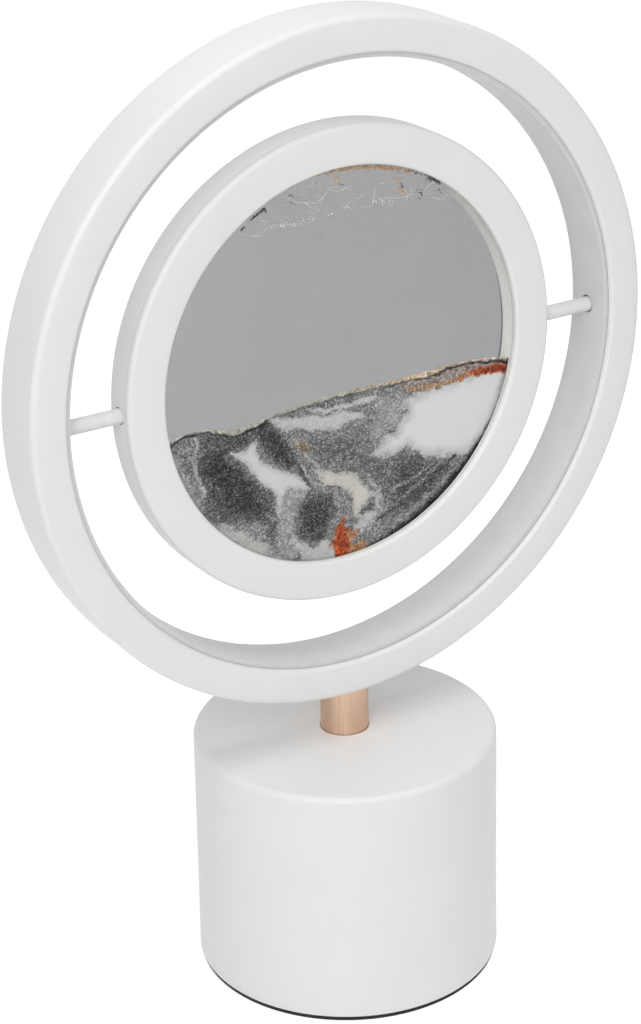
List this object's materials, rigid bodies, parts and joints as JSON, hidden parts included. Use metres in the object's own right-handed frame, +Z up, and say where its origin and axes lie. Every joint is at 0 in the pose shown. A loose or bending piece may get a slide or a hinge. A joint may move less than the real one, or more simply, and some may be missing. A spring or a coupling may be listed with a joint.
{
  "type": "moving sand lamp",
  "caption": "Table lamp with an upright light ring on a round weighted base; a flat round sand cell in a frame hangs in the ring on two pins and turns over.",
  "frame": {"origin": "middle of the foot pad's underside, on the base's vertical axis", "axes": "+Z up; the lamp's front, with the sand picture, faces -Y; the pivot axis lies along X through the ring's centre"},
  "size_m": [0.22, 0.1006, 0.318],
  "materials": {
    "white_shell": "fine satin white ABS",
    "white_pin": "moulded white acetal",
    "opal": "opal light-diffusing plastic",
    "foot_foam": "black non-slip foam",
    "rose_gold": "rose-gold anodised, fine turned lines",
    "cast_iron": "raw casting",
    "steel": "zinc plated",
    "black_nylon": "moulded black nylon",
    "circuit_board": "green solder mask",
    "light_strip": "white flexible board with yellow LED chips",
    "lead_jacket": "white PVC",
    "clear_glass": "polished float glass",
    "seal": "white silicone",
    "sand": "fine loose quartz sand in charcoal, grey, white and rust",
    "liquid": "clear liquid with a grey tint"
  },
  "bodies": {
    "lamp_body": {"foot_pad": "foot_foam", "base_shell": "white_shell", "base_plate": "black_nylon", "base_weight": "cast_iron", "weight_screw": "steel", "base_screw_1": "steel", "base_screw_2": "steel", "base_screw_3": "steel", "driver_board": "circuit_board", "board_screw_1": "steel", "board_screw_2": "steel", "power_inlet": "steel", "tact_switch": "steel", "threaded_rod": "steel", "low_nut": "steel", "low_washer": "steel", "high_nut": "steel", "high_washer": "steel", "supply_lead": "lead_jacket", "post_tube": "rose_gold", "ring_shell": "white_shell", "ring_rear_cover": "white_shell", "ring_screw_1": "steel", "ring_screw_2": "steel", "ring_screw_3": "steel", "ring_screw_4": "steel", "ring_diffuser": "opal", "led_strip": "light_strip", "pivot_bush_left": "black_nylon", "pivot_bush_right": "black_nylon"},
    "sand_frame": {"frame_bezel": "white_shell", "frame_housing": "white_shell", "frame_screw_1": "steel", "frame_screw_2": "steel", "frame_screw_3": "steel", "frame_screw_4": "steel", "front_glass": "clear_glass", "rear_glass": "clear_glass", "spacer_ring": "seal", "sand_bed": "sand", "liquid": "liquid", "pivot_pin_left": "white_pin", "pivot_pin_right": "white_pin"},
    "button": {"power_button": "black_nylon", "switch_plunger": "black_nylon"}
  },
  "joints": [
    {"name": "frame_flip", "type": "hinge", "parent": "lamp_body", "child": "sand_frame", "pos_m": [0, 0, 0.208], "axis": [1, 0, 0], "continuous": true},
    {"name": "button_press", "type": "slide", "parent": "lamp_body", "child": "button", "axis": [0, -1, 0], "range_m": [0, 0.001], "stiffness_N_per_m": 800, "springref_m": -0.001}
  ]
}
